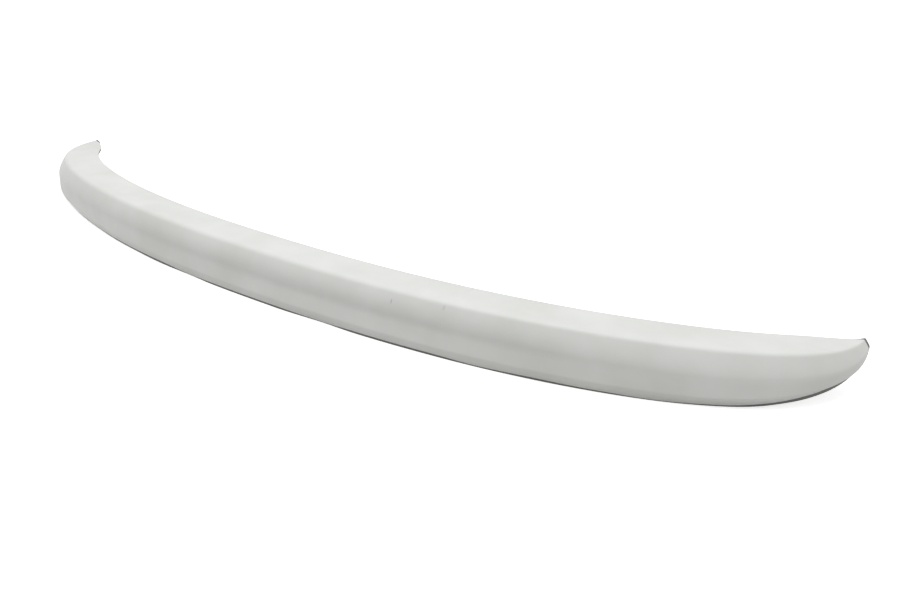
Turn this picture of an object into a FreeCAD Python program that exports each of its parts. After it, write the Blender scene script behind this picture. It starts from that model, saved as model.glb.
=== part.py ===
"""Rear spoiler: one thin moulded shell, a top skin and a rear wall that wrap forward at both ends.

Frame: millimetres, X along the spoiler, -Y to the rear of the car, +Z up. The lower rim of the
rear wall stands on Z = 0, and the origin is the middle of the outline seen from above. The sections
are drawn about the middle of the crest, and the body's placement moves them to that origin.
"""
import FreeCAD, Part
import os

import Sketcher

V = FreeCAD.Vector
NODE = "spoiler_shell"

# Driving sizes: alias, value, what it is. Lengths in mm.
SIZES = (
    ("half_length", 602.5, "middle to the end of the crest line"),
    ("end_sweep", 200.2, "how far the end tips lie forward of the middle of the crest"),
    ("plan_power", 2.28, "fullness of the crest line in plan, 2 is an ellipse"),
    ("crest_height", 58.1, "crest above the lower rim, middle"),
    ("crest_drop", 12.4, "how much lower the crest is at the tips"),
    ("front_height", 54.4, "front edge above the lower rim, middle"),
    ("front_drop", 11.9, "how much lower the front edge is at the tips"),
    ("top_depth", 48.5, "crest to front edge across the top skin"),
    ("tip_depth", 7.0, "the same at the tips"),
    ("end_taper", 0.14, "how late the top skin narrows, small is late"),
    ("tip_height", 14.0, "height of the blunt tip"),
    ("rise_power", 2.2, "how late the lower rim rises to the tips"),
    ("wall", 3.0, "laminate thickness"),
    ("crest_round", 4.5, "reach of the crest rounding on either side of the corner"),
    ("shoulder_out", 11.0, "pole of the convex shoulder, out from the crest, middle"),
    ("shoulder_end", 16.0, "the same towards the ends"),
    ("shoulder_level", 0.27, "depth of that pole below the crest as a share of the wall, middle"),
    ("shoulder_low", 0.36, "the same towards the ends"),
    ("crease_out", 9.6, "crease along the rear wall, out from the crest, middle"),
    ("crease_end", 21.0, "the same towards the ends"),
    ("crease_level", 0.5, "depth of the crease below the crest as a share of the wall"),
    ("band_out", 10.8, "upper edge of the band along the lower rim, out from the crest, middle"),
    ("band_end", 21.5, "the same towards the ends"),
    ("band_level", 0.8, "depth of that edge below the crest as a share of the wall"),
    ("rim_out", 9.4, "lower rim, out from the crest, middle"),
    ("rim_end", 10.5, "the same towards the ends"),
    ("trim", 0.6, "stock below the lower rim before it is trimmed flat"),
)

# Section planes, degrees round the plan line from the middle.
STATIONS = (0, 16, 31, 45, 57, 67, 75, 82, 87, 90)
# Where the lower rim starts to rise, degrees.
RISE_FROM = 50
# How far the back of the shoulder lies lower than its face, as a share of the laminate.
SHOULDER_SET = 0.4


def cell(alias):
    return "Sizes." + alias


def make_sheet(doc):
    sheet = doc.addObject("Spreadsheet::Sheet", "Sizes")
    for row, (alias, value, note) in enumerate(SIZES, start=1):
        sheet.set("A%d" % row, alias)
        sheet.set("B%d" % row, str(value))
        sheet.set("C%d" % row, note)
        sheet.setAlias("B%d" % row, alias)
    doc.recompute()
    return sheet


def station_terms(angle):
    """Expressions for one section: plane position and turn, and the section's own sizes."""
    side = -1 if angle < 0 else 1
    sine = "sin(%d deg)" % abs(angle)
    cosine = "cos(%d deg)" % abs(angle)
    power = cell("plan_power")
    root = "sqrt(max(0; 1 - pow(%s; %s)))" % (sine, power)
    late = "pow(%s; 6)" % sine
    rise = max(0.0, (abs(angle) - RISE_FROM) / (90.0 - RISE_FROM))
    crest = "(%s - %s * %s)" % (cell("crest_height"), cell("crest_drop"), late)
    rim = "((%s - %s + %s) * pow(%.6f; %s) - %s)" % (
        crest, cell("tip_height"), cell("trim"), rise, cell("rise_power"), cell("trim"))
    tall = "(%s - %s)" % (crest, rim)
    share = "(%s / %s)" % (tall, cell("crest_height"))
    terms = {
        "x": "%d * %s * %s" % (side, cell("half_length"), sine),
        "y": "%s * (1 - %s)" % (cell("end_sweep"), root),
        "turn": "%d * atan2(%s * %s / 2 * pow(%s; %s - 1); %s * %s)" % (
            side, cell("end_sweep"), power, sine, power, cell("half_length"), root),
        "crest": crest,
        "front": "(%s - %s * %s)" % (cell("front_height"), cell("front_drop"), late),
        "depth": "(%s + (%s - %s) * (1 - exp(-%s / %s)))" % (
            cell("tip_depth"), cell("top_depth"), cell("tip_depth"), cosine, cell("end_taper")),
        "rim": rim,
        "round": "(%s * %s)" % (cell("crest_round"), share),
    }
    for name in ("shoulder", "crease", "band", "rim"):
        middle, end = cell(name + "_out"), cell(name + "_end")
        terms[name + "_out"] = "((%s + (%s - %s) * pow(%s; 4)) * %s)" % (middle, end, middle, sine, share)
    level = "(%s + (%s - %s) * pow(%s; 4))" % (
        cell("shoulder_level"), cell("shoulder_low"), cell("shoulder_level"), sine)
    terms["shoulder_down"] = "(%s * %s)" % (level, tall)
    for name in ("crease", "band"):
        terms[name + "_down"] = "(%s * %s)" % (cell(name + "_level"), tall)
    return terms


def skin_points(terms, reach):
    """Points of the outer skin as expressions, across (inward) and up, from front edge to lower rim.

    The points top and rear lie the given reach away from the sharp crest on either side of it.
    """
    along = "min(%s; 0.9 * %s)" % (reach, terms["depth"])
    slope = "(%s - %s) / %s" % (terms["front"], terms["crest"], terms["depth"])
    out, down = terms["shoulder_out"], terms["shoulder_down"]
    part = "min(%s / sqrt(%s * %s + %s * %s); 0.9)" % (reach, out, out, down, down)
    points = {
        "front": (terms["depth"], terms["front"]),
        "top": (along, "%s + %s * %s" % (terms["crest"], slope, along)),
        "crest": ("0", terms["crest"]),
        "rear": ("-%s * %s" % (out, part), "%s - %s * %s" % (terms["crest"], down, part)),
        "rim": ("-" + terms["rim_out"], terms["rim"]),
    }
    for name in ("shoulder", "crease", "band"):
        points[name] = ("-" + terms[name + "_out"], "%s - %s" % (terms["crest"], terms[name + "_down"]))
    return points


def inner_points(terms):
    """The skin set in by the laminate: the top skin downwards, the rear wall forwards."""
    wall = cell("wall")
    inner = {}
    for key, (across, up) in skin_points(terms, "(%s + %s / 2)" % (wall, terms["round"])).items():
        if key in ("front", "top"):
            inner[key] = (across, "%s - %s" % (up, wall))
        elif key in ("rear", "shoulder"):
            inner[key] = ("%s + %s" % (across, wall), "%s - %s * %s" % (up, SHOULDER_SET, wall))
        else:
            inner[key] = ("%s + %s" % (across, wall), up)
    return inner


class Section:
    """One closed wall section: a sketch on a plane square to the crest line."""

    def __init__(self, body, sheet, angle):
        self.sheet = sheet
        self.terms = station_terms(angle)
        name = "Section_%s%02d" % ("L" if angle < 0 else "R", abs(angle))
        self.sketch = body.newObject("Sketcher::SketchObject", name)
        plane = [f for f in body.Origin.OriginFeatures if f.Role == "YZ_Plane"][0]
        self.sketch.AttachmentSupport = [(plane, "")]
        self.sketch.MapMode = "FlatFace"
        if angle:
            self.attach()
        self.draw()

    def number(self, words):
        return float(self.sheet.evalExpression(words))

    def attach(self):
        """Set the plane on the crest line and turn it square to the line."""
        place = V(self.number(self.terms["y"]), 0, self.number(self.terms["x"]))
        turn = FreeCAD.Rotation(V(0, 1, 0), self.number(self.terms["turn"]))
        self.sketch.AttachmentOffset = FreeCAD.Placement(place, turn)
        self.sketch.setExpression("AttachmentOffset.Base.x", self.terms["y"])
        self.sketch.setExpression("AttachmentOffset.Base.z", self.terms["x"])
        self.sketch.setExpression("AttachmentOffset.Rotation.Angle", self.terms["turn"])

    def rule(self, *words):
        return self.sketch.addConstraint(Sketcher.Constraint(*words))

    def bind(self, geo, pos, words):
        """Hold one point of the sketch at the two expressions in words."""
        for kind, text in zip(("DistanceX", "DistanceY"), words):
            index = self.rule(kind, -1, 1, geo, pos, self.number(text))
            self.sketch.setExpression("Constraints[%d]" % index, text)

    def spot(self, words):
        return V(self.number(words[0]), self.number(words[1]), 0)

    def line(self, start, end):
        """A straight edge."""
        return self.sketch.addGeometry(Part.LineSegment(self.spot(start), self.spot(end)), False)

    def curve(self, *poles):
        """A parabola on three poles, held at the middle one."""
        arc = Part.BSplineCurve()
        arc.buildFromPolesMultsKnots([self.spot(p) for p in poles], [3, 3], [0.0, 1.0], False, 2)
        index = self.sketch.addGeometry(arc, False)
        self.sketch.exposeInternalGeometry(index)
        self.bind(index + 2, 3, poles[1])
        return index

    def chain(self, edges, words):
        """Join edges end to end and hold each joint."""
        self.bind(edges[0], 1, words[0])
        for before, after, place in zip(edges, edges[1:], words[1:]):
            self.rule("Coincident", before, 2, after, 1)
            self.bind(after, 1, place)
        self.bind(edges[-1], 2, words[-1])

    def draw(self):
        """Outer skin, inner skin with a flat fillet under the crest, and the two cut edges."""
        out = skin_points(self.terms, self.terms["round"])
        ins = inner_points(self.terms)
        outer = [
            self.line(out["front"], out["top"]),
            self.curve(out["top"], out["crest"], out["rear"]),
            self.curve(out["rear"], out["shoulder"], out["crease"]),
            self.line(out["crease"], out["band"]),
            self.line(out["band"], out["rim"]),
        ]
        inner = [
            self.line(ins["front"], ins["top"]),
            self.line(ins["top"], ins["rear"]),
            self.curve(ins["rear"], ins["shoulder"], ins["crease"]),
            self.line(ins["crease"], ins["band"]),
            self.line(ins["band"], ins["rim"]),
        ]
        joints = ("front", "top", "rear", "crease", "band", "rim")
        self.chain(outer, [out[k] for k in joints])
        self.chain(inner, [ins[k] for k in joints])
        for first, end, place in ((0, 1, "front"), (-1, 2, "rim")):
            cut = self.line(out[place], ins[place])
            self.rule("Coincident", cut, 1, outer[first], end)
            self.rule("Coincident", cut, 2, inner[first], end)


def trim_flat(body):
    """Cut the lower rim off level, so that the shell stands on it."""
    plane = [f for f in body.Origin.OriginFeatures if f.Role == "XY_Plane"][0]
    sketch = body.newObject("Sketcher::SketchObject", "Trim_line")
    sketch.AttachmentSupport = [(plane, "")]
    sketch.MapMode = "FlatFace"
    reach = 2 * dict((alias, value) for alias, value, note in SIZES)["half_length"]
    corners = [V(-reach, -reach, 0), V(reach, -reach, 0), V(reach, reach, 0), V(-reach, reach, 0)]
    for index in range(4):
        sketch.addGeometry(Part.LineSegment(corners[index], corners[(index + 1) % 4]), False)
    for index in range(4):
        sketch.addConstraint(Sketcher.Constraint("Coincident", index, 2, (index + 1) % 4, 1))
        kind = "Horizontal" if index % 2 == 0 else "Vertical"
        sketch.addConstraint(Sketcher.Constraint(kind, index))
    sketch.addConstraint(Sketcher.Constraint("Symmetric", 0, 1, 1, 2, -1, 1))
    for line in (0, 1):
        at = sketch.addConstraint(Sketcher.Constraint("Distance", line, 2 * reach))
        sketch.setExpression("Constraints[%d]" % at, "4 * " + cell("half_length"))
    pocket = body.newObject("PartDesign::Pocket", "Trim")
    pocket.Profile = sketch
    pocket.Type = 0
    pocket.setExpression("Length", "10 * " + cell("trim"))
    body.Tip = pocket


def make_shell(doc, sheet):
    """The whole spoiler: a loft through the sections from tip to tip."""
    body = doc.addObject("PartDesign::Body", NODE)
    body.Label = NODE
    doc.recompute()
    angles = [-a for a in reversed(STATIONS[1:])] + list(STATIONS)
    sections = [Section(body, sheet, angle).sketch for angle in angles]
    doc.recompute()
    loft = body.newObject("PartDesign::AdditiveLoft", "Shell")
    loft.Profile = sections[0]
    loft.Sections = sections[1:]
    loft.Ruled = False
    loft.Closed = False
    trim_flat(body)
    body.setExpression("Placement.Base.y", "-(%s - %s) / 2" % (cell("end_sweep"), cell("band_out")))
    doc.recompute()
    return body


def check(doc):
    """Stop on anything that did not build."""
    for thing in doc.Objects:
        if "Invalid" in thing.State or "Error" in thing.State:
            raise RuntimeError("%s did not build: %s" % (thing.Name, thing.State))
        shape = getattr(thing, "Shape", None)
        if thing.isDerivedFrom("PartDesign::Feature") or thing.isDerivedFrom("PartDesign::Body"):
            if shape is None or shape.isNull() or not shape.isValid():
                raise RuntimeError("%s has no sound shape" % thing.Name)


def main():
    doc = FreeCAD.newDocument("rear_spoiler")
    sheet = make_sheet(doc)
    body = make_shell(doc, sheet)
    check(doc)
    if len(body.Shape.Solids) != 1:
        raise RuntimeError("the shell is not one solid")
    os.makedirs("parts", exist_ok=True)
    body.Shape.exportStep("parts/%s.step" % body.Label)
    box = body.Shape.BoundBox
    FreeCAD.Console.PrintMessage("%s %.1f x %.1f x %.1f mm, %.0f cm3\n" % (
        body.Label, box.XLength, box.YLength, box.ZLength, body.Shape.Volume / 1000.0))


main()
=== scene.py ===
"""Looks of a one-piece rear spoiler: a moulded shell in light grey gelcoat, on a white floor.

Lengths in the dataclasses are millimetres, as in the solid, unless their name ends in _m. Blender
works in metres, so the mesh is scaled by MM as it is shaped. X runs along the spoiler, -Y is the
rear of the car and Z is up.
"""

import logging
import math
from dataclasses import astuple, dataclass, field
from enum import Enum

import bpy
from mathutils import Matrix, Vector


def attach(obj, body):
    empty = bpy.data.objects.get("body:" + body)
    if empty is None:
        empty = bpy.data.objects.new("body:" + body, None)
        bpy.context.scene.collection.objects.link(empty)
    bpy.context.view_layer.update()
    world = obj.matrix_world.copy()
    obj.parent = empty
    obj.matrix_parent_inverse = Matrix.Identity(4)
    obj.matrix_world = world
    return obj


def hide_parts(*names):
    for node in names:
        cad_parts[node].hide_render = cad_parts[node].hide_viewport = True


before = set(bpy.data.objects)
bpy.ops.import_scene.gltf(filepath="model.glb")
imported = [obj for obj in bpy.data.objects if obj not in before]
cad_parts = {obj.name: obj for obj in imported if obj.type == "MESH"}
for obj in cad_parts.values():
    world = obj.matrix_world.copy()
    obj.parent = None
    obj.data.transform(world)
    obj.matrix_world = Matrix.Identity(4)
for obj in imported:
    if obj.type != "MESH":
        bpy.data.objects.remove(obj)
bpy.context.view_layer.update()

LOG = logging.getLogger("spoiler")
MM = 0.001
NODE = "spoiler_shell"
WHITE = (1.0, 1.0, 1.0, 1.0)
TINY = 1e-9
NEARLY_ALL = 0.9

Point = tuple[float, float]
Tones = tuple[tuple[float, str], tuple[float, str]]


class Face(Enum):
    """Material slots of the shell's mesh, by the side that they cover."""

    MOULD = 0
    LAY_UP = 1
    # The laminate's cut edges, and a strip of the outer skin at the lower rim and the tips that
    # carries painted shadow of the gap beneath.
    CUT = 2


def srgb(text: str) -> tuple[float, float, float, float]:
    """Turn an sRGB hex colour into Blender's linear colour.

    Args:
        text: six hex digits.

    Returns:
        Linear red, green, blue and an alpha of one.
    """
    parts = [int(text[i:i + 2], 16) / 255.0 for i in (0, 2, 4)]
    linear = [p / 12.92 if p <= 0.04045 else ((p + 0.055) / 1.055) ** 2.4 for p in parts]
    return (linear[0], linear[1], linear[2], 1.0)


def grey(level: float) -> tuple[float, float, float, float]:
    """A neutral linear colour of one level."""
    return (level, level, level, 1.0)


def add_node(tree: bpy.types.NodeTree, kind: str, inputs: dict | None = None,
             **options: object) -> bpy.types.Node:
    """Add a node, set its options, and link or set its inputs.

    Args:
        tree: the node tree.
        kind: Blender's name of the node type.
        inputs: input name or number to the output socket that feeds it, or to its value.
        options: settings of the node itself.

    Returns:
        The new node.
    """
    node = tree.nodes.new(kind)
    for name, value in options.items():
        setattr(node, name, value)
    for name, value in (inputs or {}).items():
        if isinstance(value, bpy.types.NodeSocket):
            tree.links.new(value, node.inputs[name])
        else:
            node.inputs[name].default_value = value
    return node


def new_material(name: str) -> tuple[bpy.types.Material, bpy.types.NodeTree]:
    """Start a material with no nodes.

    Args:
        name: the material's name.

    Returns:
        The material and its empty node tree.
    """
    material = bpy.data.materials.new(name)
    material.use_nodes = True
    material.node_tree.nodes.clear()
    return material, material.node_tree


def seen_rays(tree: bpy.types.NodeTree) -> bpy.types.NodeSocket:
    """Add a factor that is one for what the camera, a reflection or a clear material sees.

    Args:
        tree: the node tree.

    Returns:
        The factor's socket.
    """
    path = add_node(tree, "ShaderNodeLightPath")
    seen = path.outputs["Is Camera Ray"]
    for ray in ("Is Glossy Ray", "Is Transmission Ray"):
        either = add_node(tree, "ShaderNodeMath", {0: seen, 1: path.outputs[ray]},
                          operation="MAXIMUM")
        seen = either.outputs[0]
    return seen


@dataclass(frozen=True)
class Nick:
    """A short dull mark on the rear wall: its place, half sizes and strength."""

    x: float
    z: float
    half_wide: float
    half_tall: float
    strength: float


@dataclass(frozen=True)
class GelcoatFinish:
    """Polyester gelcoat out of a female mould, rubbed down with fine paper and not painted.

    It gives the eye a pale neutral grey with a broad soft sheen, slight cloudiness a few
    centimetres across, a skin that is not quite fair and two small marks. The paper's scratches
    are too fine to show, so the grain is drawn coarser than they are.
    """

    name: str = "gelcoat_light_grey_rubbed"
    tones: Tones = ((0.30, "D5D6CF"), (0.65, "DEDFD9"))
    mark: str = "A6A7A1"
    roughness: float = 0.52
    duller: float = 0.07
    shinier: float = 0.05
    ior: float = 1.55
    cloud: float = 60.0
    cloud_detail: float = 3.0
    ripple: float = 35.0
    ripple_detail: float = 1.0
    ripple_deep: float = 1.5
    ripple_strength: float = 0.25
    grain: float = 1.6
    grain_detail: float = 2.0
    grain_deep: float = 0.2
    grain_strength: float = 0.10
    nicks: tuple[Nick, ...] = (
        Nick(x=200.6, z=47.3, half_wide=1.0, half_tall=3.2, strength=0.9),
        Nick(x=259.0, z=52.6, half_wide=2.2, half_tall=3.4, strength=0.35),
    )

    def build(self) -> bpy.types.Material:
        """Make the material.

        Returns:
            The finished material.
        """
        material, tree = new_material(self.name)
        place = add_node(tree, "ShaderNodeTexCoord").outputs["Object"]
        cloud, ripple, grain = (
            add_node(tree, "ShaderNodeTexNoise", {
                "Vector": place, "Scale": 1.0 / (size * MM), "Detail": detail}).outputs["Fac"]
            for size, detail in ((self.cloud, self.cloud_detail),
                                 (self.ripple, self.ripple_detail),
                                 (self.grain, self.grain_detail)))
        ramp = add_node(tree, "ShaderNodeValToRGB", {"Fac": cloud})
        for stop, (where, tone) in zip(ramp.color_ramp.elements, self.tones):
            stop.position, stop.color = where, srgb(tone)
        unfair = add_node(tree, "ShaderNodeBump", {
            "Height": ripple, "Strength": self.ripple_strength,
            "Distance": self.ripple_deep * MM})
        skin = add_node(tree, "ShaderNodeBump", {
            "Height": grain, "Strength": self.grain_strength,
            "Distance": self.grain_deep * MM, "Normal": unfair.outputs["Normal"]})
        sheen = add_node(tree, "ShaderNodeMapRange", {
            "Value": grain, "To Min": self.roughness - self.shinier,
            "To Max": self.roughness + self.duller})
        shader = add_node(tree, "ShaderNodeBsdfPrincipled", {
            "Base Color": self.marked(tree, place, ramp.outputs["Color"]),
            "Roughness": sheen.outputs["Result"],
            "Normal": skin.outputs["Normal"],
            "IOR": self.ior})
        add_node(tree, "ShaderNodeOutputMaterial", {"Surface": shader.outputs["BSDF"]})
        return material

    def marked(self, tree: bpy.types.NodeTree, place: bpy.types.NodeSocket,
               tint: bpy.types.NodeSocket) -> bpy.types.NodeSocket:
        """Draw the nicks over a colour, each as an ellipse that fades out from its middle.

        Args:
            tree: the material's node tree.
            place: the Object coordinates.
            tint: the colour without the nicks.

        Returns:
            The colour with the nicks.
        """
        for nick in self.nicks:
            near = add_node(tree, "ShaderNodeMapping", {
                "Vector": place,
                "Location": (-nick.x / nick.half_wide, 0.0, -nick.z / nick.half_tall),
                "Scale": (1.0 / (nick.half_wide * MM), 0.0, 1.0 / (nick.half_tall * MM))})
            away = add_node(tree, "ShaderNodeVectorMath", {0: near.outputs["Vector"]},
                            operation="LENGTH")
            fade = add_node(tree, "ShaderNodeMapRange", {
                "Value": away.outputs["Value"], "To Min": nick.strength, "To Max": 0.0})
            # Inputs 6 and 7 and output 2 are the node's colours.
            both = add_node(tree, "ShaderNodeMix", {
                0: fade.outputs["Result"], 6: tint, 7: srgb(self.mark)}, data_type="RGBA")
            tint = both.outputs[2]
        return tint


@dataclass(frozen=True)
class LaminateFinish:
    """The back of the laminate: chopped glass strands under rolled polyester resin, tinted grey.

    It gives the eye short crossing strands and a rough, slightly greener grey. Single strands are
    too fine to show, so they are drawn as bundles.
    """

    name: str = "glass_mat_laminate_back"
    tones: Tones = ((0.50, "C6C8BF"), (0.72, "D8DAD1"))
    roughness: float = 0.55
    ior: float = 1.55
    bundle: float = 4.0
    bundle_detail: float = 2.0
    bundle_stretch: float = 9.0
    lays_rad: tuple[float, ...] = (0.4, 1.5, 2.5)
    lay_lean: float = 0.3
    bundle_deep: float = 0.6
    bundle_strength: float = 0.5

    def build(self) -> bpy.types.Material:
        """Make the material.

        Returns:
            The finished material.
        """
        material, tree = new_material(self.name)
        place = add_node(tree, "ShaderNodeTexCoord").outputs["Object"]
        scale = 1.0 / (self.bundle_stretch * self.bundle * MM)
        mat = None
        for lay in self.lays_rad:
            turned = add_node(tree, "ShaderNodeMapping", {
                "Vector": place,
                "Rotation": (lay, self.lay_lean * lay, lay),
                "Scale": (1.0, self.bundle_stretch, self.bundle_stretch)})
            strands = add_node(tree, "ShaderNodeTexNoise", {
                "Vector": turned.outputs["Vector"], "Scale": scale,
                "Detail": self.bundle_detail}).outputs["Fac"]
            mat = strands if mat is None else add_node(
                tree, "ShaderNodeMath", {0: mat, 1: strands}, operation="MAXIMUM").outputs[0]
        ramp = add_node(tree, "ShaderNodeValToRGB", {"Fac": mat})
        for stop, (where, tone) in zip(ramp.color_ramp.elements, self.tones):
            stop.position, stop.color = where, srgb(tone)
        skin = add_node(tree, "ShaderNodeBump", {
            "Height": mat, "Strength": self.bundle_strength, "Distance": self.bundle_deep * MM})
        shader = add_node(tree, "ShaderNodeBsdfPrincipled", {
            "Base Color": ramp.outputs["Color"],
            "Roughness": self.roughness,
            "Normal": skin.outputs["Normal"],
            "IOR": self.ior})
        add_node(tree, "ShaderNodeOutputMaterial", {"Surface": shader.outputs["BSDF"]})
        return material


@dataclass(frozen=True)
class CutEdgeAndShadowFinish:
    """The trimmed edge of the laminate, glass and resin with no gelcoat on it, and painted
    shadow.

    It gives the eye a dull, dark grey line round the tips and along the lower rim. The grey is
    partly the raw edge's own colour and partly painted shadow: the same finish lies on a strip of
    the outer skin there, where it stands in for the shade in the gap under the rim and at the
    tips.
    """

    name: str = "laminate_cut_edge_and_painted_shadow"
    # The dark grey is partly the raw edge's own colour and partly painted shadow of the gap under
    # the rim and at the tips.
    tones: Tones = ((0.35, "6A6B65"), (0.70, "7C7D76"))
    roughness: float = 0.8
    ply: float = 1.5
    ply_detail: float = 2.0

    def build(self) -> bpy.types.Material:
        """Make the material.

        Returns:
            The finished material.
        """
        material, tree = new_material(self.name)
        place = add_node(tree, "ShaderNodeTexCoord").outputs["Object"]
        plies = add_node(tree, "ShaderNodeTexNoise", {
            "Vector": place, "Scale": 1.0 / (self.ply * MM), "Detail": self.ply_detail})
        ramp = add_node(tree, "ShaderNodeValToRGB", {"Fac": plies.outputs["Fac"]})
        for stop, (where, tone) in zip(ramp.color_ramp.elements, self.tones):
            stop.position, stop.color = where, srgb(tone)
        shader = add_node(tree, "ShaderNodeBsdfPrincipled", {
            "Base Color": ramp.outputs["Color"], "Roughness": self.roughness})
        add_node(tree, "ShaderNodeOutputMaterial", {"Surface": shader.outputs["BSDF"]})
        return material


@dataclass(frozen=True)
class HandWork:
    """What the hand work left uneven at one place along the shell.

    The angle is in degrees round the plan line. At that place the dark strip at the rim, partly
    the trimmed edge and partly painted shadow of the gap beneath, is so tall and is tucked in so
    far, the crease and the shoulder are set in, and the band flares out.
    """

    angle: float
    sawn_and_shadow: float
    tuck: float
    crease_in: float
    shoulder_in: float
    flare: float

    def eased(self, other: "HandWork", angle: float) -> "HandWork":
        """Ease from this place to the next one.

        Args:
            other: the next place.
            angle: where to stop between the two, in degrees.

        Returns:
            The hand work there.
        """
        part = (angle - self.angle) / (other.angle - self.angle)
        part = part * part * (3.0 - 2.0 * part)
        pairs = zip(astuple(self)[1:], astuple(other)[1:])
        return HandWork(angle, *(a + (b - a) * part for a, b in pairs))


@dataclass
class SpoilerShell:
    """The moulded shell: a top skin and a rear wall along one plan line.

    A size that ends in _end holds at the tips, and its partner holds at the middle. A level is a
    share of the wall's height, down from the crest.
    """

    half_length: float = 602.5
    end_sweep: float = 200.2
    plan_power: float = 2.28
    crest_height: float = 58.1
    crest_drop: float = 12.4
    front_height: float = 54.4
    front_drop: float = 11.9
    drop_power: int = 6
    top_depth: float = 48.5
    tip_depth: float = 7.0
    end_taper: float = 0.14
    tip_height: float = 14.0
    rise_power: float = 2.2
    rise_from_deg: float = 50.0
    wall: float = 3.0
    crest_round: float = 4.5
    shoulder_out: float = 11.0
    shoulder_out_end: float = 16.0
    shoulder_level: float = 0.27
    shoulder_level_end: float = 0.36
    crease_out: float = 9.6
    crease_out_end: float = 21.0
    crease_level: float = 0.5
    crease_round: float = 4.0
    band_out: float = 10.8
    band_out_end: float = 21.5
    band_level: float = 0.8
    band_round: float = 1.5
    rim_out: float = 9.4
    rim_out_end: float = 10.5
    bulge_power: int = 4
    sawn_lean: float = 0.4
    hang_share: float = 0.8
    hang_most: float = 2.5
    edge_round: float = 0.4
    edge_segments: int = 2
    edge_angle_deg: float = 55.0
    smooth_angle_deg: float = 35.0
    columns: int = 320
    fine_steps: int = 4000
    top_rows: int = 10
    bend_rows: int = 10
    wall_rows: int = 18
    crease_rows: int = 6
    strip_rows: int = 4
    turn_rows: int = 4
    band_rows: int = 4
    sawn_and_shadow_rows: int = 2
    sawn_and_shadow_columns: int = 1
    # The second number of each row sets how tall the dark strip at the rim is, which is partly
    # painted shadow of the gap under the rim.
    hand_work: tuple[HandWork, ...] = (
        HandWork(-90, 0.6, 0.0, 0.5, 0.0, 0.0),
        HandWork(-60, 0.6, 1.0, 0.6, 0.0, 0.0),
        HandWork(-36, 1.0, 3.0, 0.2, 0.0, 1.0),
        HandWork(-25, 2.6, 1.5, 0.1, 0.0, 2.0),
        HandWork(-16, 4.0, 0.0, 0.1, 0.0, 2.5),
        HandWork(-10.5, 0.8, 2.0, 0.3, 0.0, 2.5),
        HandWork(-6, 2.8, 0.0, 0.6, 0.0, 2.5),
        HandWork(4, 3.0, 0.0, 1.7, 0.0, 2.2),
        HandWork(10.5, 0.8, 2.5, 2.6, 0.0, 1.7),
        HandWork(15, 3.0, 0.0, 2.7, 0.2, 1.3),
        HandWork(24, 3.0, 0.0, 2.3, 0.4, 1.0),
        HandWork(29, 1.6, 0.5, 1.6, 0.5, 1.0),
        HandWork(36, 2.8, 0.0, 1.2, 0.5, 0.8),
        HandWork(43, 1.9, 0.0, 0.4, 0.6, 0.4),
        HandWork(50, 0.9, 0.0, 0.7, 1.0, 0.2),
        HandWork(57, 1.6, 0.0, 1.1, 1.3, 0.0),
        HandWork(66, 3.2, 0.0, 1.7, 1.5, 0.0),
        HandWork(72, 5.0, -1.4, 1.6, 1.4, 0.0),
        HandWork(78, 7.2, -2.5, 1.5, 1.3, 0.0),
        HandWork(85, 5.8, -2.2, 0.6, 0.4, 0.0),
        HandWork(90, 0.8, 0.0, 0.0, 0.0, 0.0),
    )
    obj: bpy.types.Object | None = field(default=None)

    def plan(self, sine: float) -> tuple[float, float, float]:
        """Place of the crest line and the way that its sections face.

        Args:
            sine: -1 at the left tip to 1 at the right tip.

        Returns:
            X and Y of the crest line, and the turn of the section in radians.
        """
        reach = abs(sine)
        root = math.sqrt(max(0.0, 1.0 - reach ** self.plan_power))
        slope = self.end_sweep * self.plan_power / 2.0 * reach ** (self.plan_power - 1.0)
        turn = math.copysign(math.atan2(slope, self.half_length * root), sine)
        return self.half_length * sine, self.end_sweep * (1.0 - root), turn

    def stations(self) -> list[float]:
        """Angles round the plan line whose columns are evenly spaced along it.

        Returns:
            One angle in radians for each column of vertices, from tip to tip.
        """
        fine = self.fine_steps
        angles = [math.pi * (i / fine - 0.5) for i in range(fine + 1)]
        spots = [self.plan(math.sin(a))[:2] for a in angles]
        run = [0.0]
        for before, after in zip(spots, spots[1:]):
            run.append(run[-1] + math.dist(before, after))
        result, at = [], 0
        for column in range(self.columns + 1):
            goal = run[-1] * column / self.columns
            while at < fine - 1 and run[at + 1] < goal:
                at += 1
            part = (goal - run[at]) / max(TINY, run[at + 1] - run[at])
            result.append(angles[at] + (angles[at + 1] - angles[at]) * part)
        return result

    def uneven(self, angle: float) -> HandWork:
        """What the hand work left uneven at one section.

        Args:
            angle: where the section is, in radians round the plan line.

        Returns:
            The hand work there, eased between the places that are given.
        """
        first, last = self.hand_work[0], self.hand_work[-1]
        at = min(max(math.degrees(angle), first.angle), last.angle)
        for before, after in zip(self.hand_work, self.hand_work[1:]):
            if at <= after.angle:
                return before.eased(after, at)
        return last

    def section(self, angle: float) -> list[Point]:
        """Outer skin of one section, from the front edge to the lower rim.

        Args:
            angle: where the section is, in radians round the plan line.

        Returns:
            Distance in from the crest line and height, one pair for each row of vertices.
        """
        sine, cosine = abs(math.sin(angle)), math.cos(angle)
        drop, bulge = sine ** self.drop_power, sine ** self.bulge_power
        past = abs(math.degrees(angle)) - self.rise_from_deg
        rise = max(0.0, past / (90.0 - self.rise_from_deg))
        crest = self.crest_height - self.crest_drop * drop
        front = self.front_height - self.front_drop * drop
        spread = 1.0 - math.exp(-cosine / self.end_taper)
        depth = self.tip_depth + (self.top_depth - self.tip_depth) * spread
        rim = (crest - self.tip_height) * rise ** self.rise_power
        tall = crest - rim
        share = tall / self.crest_height
        work = self.uneven(angle)

        def out(middle: float, end: float, level: float) -> Point:
            """A point of the wall that stands out from the crest line."""
            return (-(middle + (end - middle) * bulge) * share, crest - level * tall)

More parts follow.
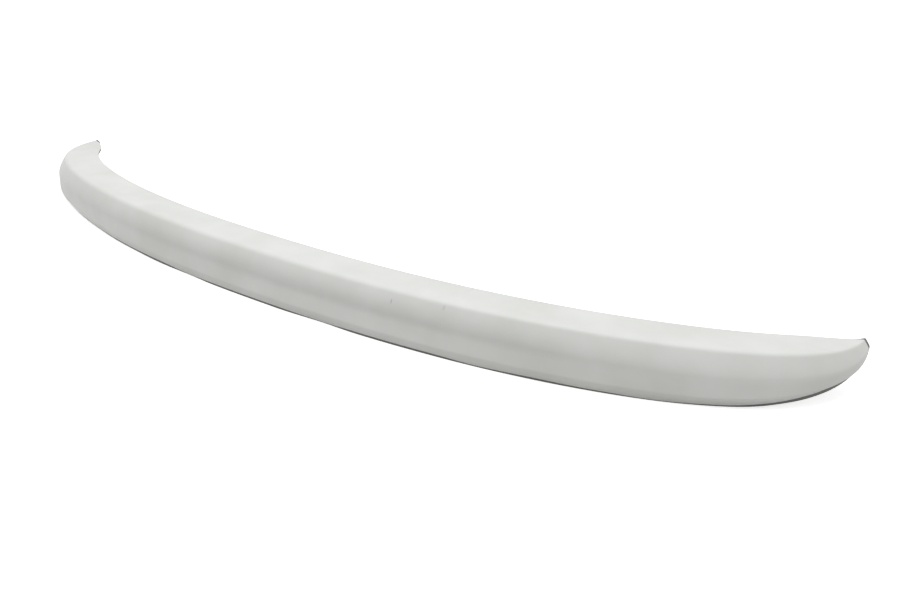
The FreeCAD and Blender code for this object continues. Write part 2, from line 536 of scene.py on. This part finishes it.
        corner, lip = (0.0, crest), (depth, front)
        level = self.shoulder_level + (self.shoulder_level_end - self.shoulder_level) * bulge
        shoulder = out(self.shoulder_out - work.shoulder_in,
                       self.shoulder_out_end - work.shoulder_in, level)
        crease = out(self.crease_out, self.crease_out_end, self.crease_level)
        crease = (crease[0] + work.crease_in * share, crease[1])
        band = out(self.band_out + work.flare, self.band_out_end + work.flare, self.band_level)
        foot = out(self.rim_out + work.flare, self.rim_out_end + work.flare, 1.0)
        # The dark strip's height is partly painted shadow of the gap under the rim.
        hang = min(self.hang_share * work.sawn_and_shadow, self.hang_share * rim, self.hang_most)
        edge = (foot[0] + work.tuck + self.sawn_lean * work.sawn_and_shadow, foot[1] - hang)
        foot = (foot[0] + work.tuck, foot[1] + work.sawn_and_shadow - hang)

        top = self.towards(corner, lip, self.crest_round * share)
        rear = self.towards(corner, shoulder, self.crest_round * share)
        above = self.towards(crease, shoulder, self.crease_round * share)
        below = self.towards(crease, band, self.crease_round * share)
        upper = self.towards(band, crease, self.band_round * share)
        lower = self.towards(band, foot, self.band_round * share)
        points = self.line(lip, top, self.top_rows)
        points += self.arc(top, corner, rear, self.bend_rows)
        points += self.arc(rear, shoulder, above, self.wall_rows)
        points += self.arc(above, crease, below, self.crease_rows)
        points += self.line(below, upper, self.strip_rows)
        points += self.arc(upper, band, lower, self.turn_rows)
        points += self.line(lower, foot, self.band_rows)
        points += self.line(foot, edge, self.sawn_and_shadow_rows)
        return points + [edge]

    @staticmethod
    def towards(start: Point, end: Point, reach: float) -> Point:
        """The point at a given reach from start towards end, nearly all the way at most."""
        part = min(reach / max(TINY, math.dist(start, end)), NEARLY_ALL)
        return (start[0] + (end[0] - start[0]) * part, start[1] + (end[1] - start[1]) * part)

    @staticmethod
    def line(start: Point, end: Point, rows: int) -> list[Point]:
        """Even points from start up to, not with, end."""
        return [(start[0] + (end[0] - start[0]) * i / rows,
                 start[1] + (end[1] - start[1]) * i / rows) for i in range(rows)]

    @staticmethod
    def arc(start: Point, corner: Point, end: Point, rows: int) -> list[Point]:
        """Points of a parabola that runs along the lines to its corner, up to, not with, end.

        Args:
            start: where it starts.
            corner: where the lines along its two ends meet.
            end: where it ends.
            rows: how many points to give.

        Returns:
            The points.
        """
        points = []
        for i in range(rows):
            t = i / rows
            a, b, c = (1 - t) ** 2, 2 * t * (1 - t), t ** 2
            points.append((a * start[0] + b * corner[0] + c * end[0],
                           a * start[1] + b * corner[1] + c * end[1]))
        return points

    def build(self, finishes: dict[Face, bpy.types.Material]) -> bpy.types.Object:
        """Shape a grid into the outer skin, give it its thickness and round its cut edges.

        Args:
            finishes: the material of each side.

        Returns:
            The finished shell.
        """
        angles = self.stations()
        skins = [self.section(a) for a in angles]
        places = [self.plan(math.sin(a)) for a in angles]
        rows = len(skins[0]) - 1
        bpy.ops.object.select_all(action="DESELECT")
        bpy.ops.mesh.primitive_grid_add(
            x_subdivisions=self.columns, y_subdivisions=rows, size=1.0)
        self.obj = bpy.context.active_object
        self.obj.name = "spoiler_skin"
        for side in Face:
            self.obj.data.materials.append(finishes[side])
        middle = (self.end_sweep - self.band_out) / 2.0
        spots = []
        for vertex in self.obj.data.vertices:
            column = round((vertex.co.x + 0.5) * self.columns)
            row = round((0.5 - vertex.co.y) * rows)
            spots.append((column, row))
            x, y, turn = places[column]
            inward, up = skins[column][row]
            vertex.co = Vector((x - inward * math.sin(turn),
                                y + inward * math.cos(turn) - middle, up)) * MM
        self.mark_sawn_and_shadow(spots, rows)
        self.obj.data.update()
        self.thicken()
        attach(self.obj, "root")
        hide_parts(NODE)
        return self.obj

    def mark_sawn_and_shadow(self, spots: list[tuple[int, int]], rows: int) -> None:
        """Give the faces at the lower rim and the tips the dark cut-edge finish, partly the raw
        edge and partly painted shadow.

        Args:
            spots: the column and the row of each vertex.
            rows: how many rows of faces the skin has.
        """
        for face in self.obj.data.polygons:
            columns = [spots[v][0] for v in face.vertices]
            at_rim = min(spots[v][1] for v in face.vertices) >= rows - self.sawn_and_shadow_rows
            at_tip = (max(columns) <= self.sawn_and_shadow_columns
                      or min(columns) >= self.columns - self.sawn_and_shadow_columns)
            if at_rim or at_tip:
                # These faces carry painted shadow: the dark finish on the outer skin stands in
                # for the shade in the gap under the rim and at the tips.
                face.material_index = Face.CUT.value

    def thicken(self) -> None:
        """Add the laminate's thickness inwards and soften the cut edges."""
        bpy.ops.object.select_all(action="DESELECT")
        self.obj.select_set(True)
        bpy.context.view_layer.objects.active = self.obj
        top = max(self.obj.data.polygons, key=lambda p: abs(p.normal.z))
        if top.normal.z < 0.0:
            bpy.ops.object.mode_set(mode="EDIT")
            bpy.ops.mesh.select_all(action="SELECT")
            bpy.ops.mesh.flip_normals()
            bpy.ops.object.mode_set(mode="OBJECT")
        solid = self.obj.modifiers.new("laminate", "SOLIDIFY")
        solid.thickness = self.wall * MM
        solid.offset = -1.0
        solid.use_even_offset = True
        solid.material_offset = Face.LAY_UP.value
        solid.material_offset_rim = Face.CUT.value
        edge = self.obj.modifiers.new("cut_edge", "BEVEL")
        edge.width = self.edge_round * MM
        edge.segments = self.edge_segments
        edge.limit_method = "ANGLE"
        edge.angle_limit = math.radians(self.edge_angle_deg)
        for name in ("laminate", "cut_edge"):
            bpy.ops.object.modifier_apply(modifier=name)
        bpy.ops.object.shade_smooth_by_angle(angle=math.radians(self.smooth_angle_deg))


@dataclass
class Studio:
    """White floor, soft light from above and the camera."""

    camera_at: tuple[float, float, float] = (714.2, -683.0, 414.7)
    yaw_deg: float = 36.0
    pitch_deg: float = 25.59
    lens: float = 33.78
    sensor: float = 36.0
    floor_m: float = 60.0
    floor_pale: float = 0.9
    floor_dull: float = 0.55
    floor_glow: float = 0.62
    sky: float = 0.54
    key_watts: float = 43.2
    key_colour: str = "F8F8FF"
    key_size_m: float = 2.2
    key_at_m: tuple[float, float, float] = (0.05, 0.0, 2.5)

    def floor(self) -> None:
        """Lay a floor that looks white, keeps the shell's shadow and throws little light back."""
        bpy.ops.object.select_all(action="DESELECT")
        bpy.ops.mesh.primitive_plane_add(size=self.floor_m)
        floor = bpy.context.active_object
        floor.name = "studio_floor"
        material, tree = new_material("studio_floor_white")
        pale = add_node(tree, "ShaderNodeBsdfDiffuse", {"Color": grey(self.floor_pale)})
        glow = add_node(tree, "ShaderNodeEmission", {
            "Color": WHITE, "Strength": self.floor_glow})
        lit = add_node(tree, "ShaderNodeAddShader", {0: pale.outputs[0], 1: glow.outputs[0]})
        dull = add_node(tree, "ShaderNodeBsdfDiffuse", {"Color": grey(self.floor_dull)})
        mix = add_node(tree, "ShaderNodeMixShader", {
            0: seen_rays(tree), 1: dull.outputs[0], 2: lit.outputs[0]})
        add_node(tree, "ShaderNodeOutputMaterial", {"Surface": mix.outputs[0]})
        floor.data.materials.append(material)

    def light(self) -> None:
        """Set a pale sky that the camera sees as white, and one broad lamp overhead."""
        world = bpy.data.worlds.new("studio_sky")
        bpy.context.scene.world = world
        world.use_nodes = True
        tree = world.node_tree
        tree.nodes.clear()
        strength = add_node(tree, "ShaderNodeMapRange", {
            "Value": seen_rays(tree), "To Min": self.sky, "To Max": 1.0})
        glow = add_node(tree, "ShaderNodeBackground", {
            "Color": WHITE, "Strength": strength.outputs["Result"]})
        add_node(tree, "ShaderNodeOutputWorld", {"Surface": glow.outputs[0]})
        lamp = bpy.data.lights.new("overhead", "AREA")
        lamp.energy = self.key_watts
        lamp.color = srgb(self.key_colour)[:3]
        lamp.size = self.key_size_m
        rig = bpy.data.objects.new("overhead", lamp)
        rig.location = self.key_at_m
        bpy.context.collection.objects.link(rig)

    def camera(self) -> None:
        """Place the camera at the viewing angle."""
        data = bpy.data.cameras.new("camera")
        data.sensor_fit = "HORIZONTAL"
        data.sensor_width = self.sensor
        data.lens = self.lens
        rig = bpy.data.objects.new("camera", data)
        rig.location = Vector(self.camera_at) * MM
        tilt = math.radians(90.0 - self.pitch_deg)
        rig.rotation_euler = (tilt, 0.0, math.radians(self.yaw_deg))
        bpy.context.collection.objects.link(rig)
        bpy.context.scene.camera = rig

    def build(self) -> None:
        """Build the floor, the lights and the camera."""
        self.floor()
        self.light()
        self.camera()
        bpy.context.scene.view_settings.view_transform = "Standard"


def main() -> None:
    """Build the shell, dress it and light it."""
    logging.basicConfig(level=logging.INFO)
    piece = SpoilerShell().build({
        Face.MOULD: GelcoatFinish().build(),
        Face.LAY_UP: LaminateFinish().build(),
        Face.CUT: CutEdgeAndShadowFinish().build(),
    })
    LOG.info("%s: %d faces", piece.name, len(piece.data.polygons))
    Studio().build()


if __name__ == "__main__":
    main()
